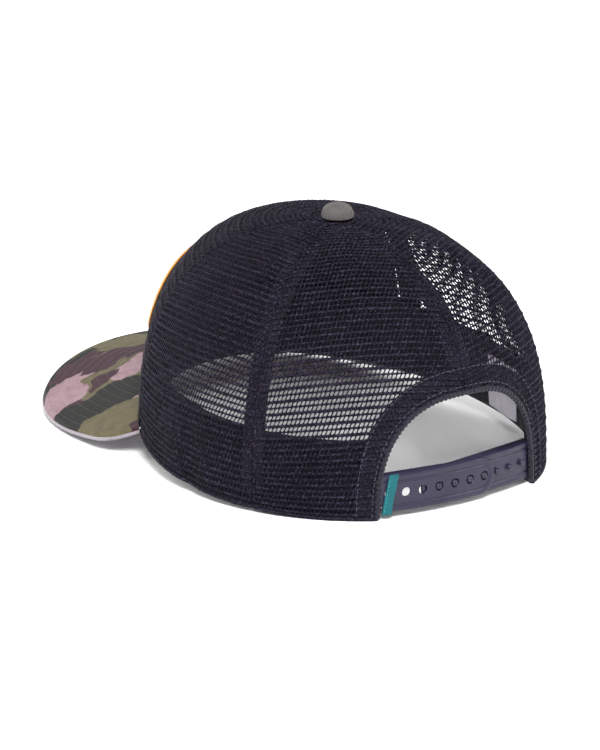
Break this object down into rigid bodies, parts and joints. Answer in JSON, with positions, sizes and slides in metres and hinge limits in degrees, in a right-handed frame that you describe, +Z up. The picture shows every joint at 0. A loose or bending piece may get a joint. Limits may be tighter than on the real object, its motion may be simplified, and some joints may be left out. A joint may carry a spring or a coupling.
{
  "type": "trucker cap",
  "caption": "Trucker cap with a knitted mesh crown, a curved camouflage brim, a rear opening and a plastic snap strap.",
  "frame": {"origin": "middle of the cap's outer box, on the surface that it stands on", "axes": "+Z up, the brim points to -Y, and +X is the wearer's left"},
  "size_m": [0.1878, 0.2732, 0.1219],
  "materials": {
    "mesh_knit": "dark navy warp-knitted polyester mesh with a slight sheen",
    "lining_cloth": "stiff laminated dark lining",
    "tape_cloth": "dark navy woven tape",
    "foam_pad": "thin foam with interlining",
    "sweatband_cloth": "dark navy brushed twill",
    "patch_cloth": "cream twill filled with embroidery",
    "patch_thread": "orange overlocked embroidery thread",
    "brim_plastic": "plain moulded board",
    "camo_twill": "camouflage cotton twill in olive, charcoal, plum and mauve",
    "under_twill": "lilac grey cotton twill",
    "button_cloth": "camouflage twill stretched over a button, mostly grey",
    "pressed_steel": "thin pressed plated steel",
    "strap_plastic": "semi-gloss navy moulded plastic",
    "tag_ribbon": "teal woven ribbon",
    "label_ribbon": "soft satin label"
  },
  "bodies": {
    "cap": {"front_panel": "mesh_knit", "side_panel_left": "mesh_knit", "side_panel_right": "mesh_knit", "back_panel_left": "mesh_knit", "back_panel_right": "mesh_knit", "front_backing": "lining_cloth", "seam_tape_front_left": "tape_cloth", "seam_tape_front_right": "tape_cloth", "seam_tape_side_left": "tape_cloth", "seam_tape_side_right": "tape_cloth", "seam_tape_back": "tape_cloth", "opening_binding": "tape_cloth", "sweatband_pad": "foam_pad", "sweatband": "sweatband_cloth", "front_patch": "patch_cloth", "patch_border": "patch_thread", "brim_board": "brim_plastic", "brim_top_cover": "camo_twill", "brim_under_cover": "under_twill", "button_cover": "button_cloth", "button_shell": "pressed_steel", "button_prong": "pressed_steel", "button_washer": "pressed_steel"},
    "strap_with_holes": {"snap_strap_holes": "strap_plastic", "side_tag": "tag_ribbon"},
    "strap_with_pegs": {"snap_strap_pegs": "strap_plastic"},
    "label": {"care_label": "label_ribbon"}
  },
  "joints": [
    {"name": "holes_half_swing", "type": "hinge", "parent": "cap", "child": "strap_with_holes", "pos_m": [0.04206, 0.12829, 0.012], "axis": [0, 0, -1], "range_deg": [0, 75], "stiffness_Nm_per_rad": 0.01},
    {"name": "pegs_half_swing", "type": "hinge", "parent": "cap", "child": "strap_with_pegs", "pos_m": [-0.04171, 0.12699, 0.012], "axis": [0, 0, -1], "range_deg": [0, 60], "stiffness_Nm_per_rad": 0.01},
    {"name": "label_lift", "type": "hinge", "parent": "cap", "child": "label", "pos_m": [-0.08245, 0.05764, 0.035], "axis": [-0.2042, -0.9789, 0], "range_deg": [0, 60]}
  ]
}
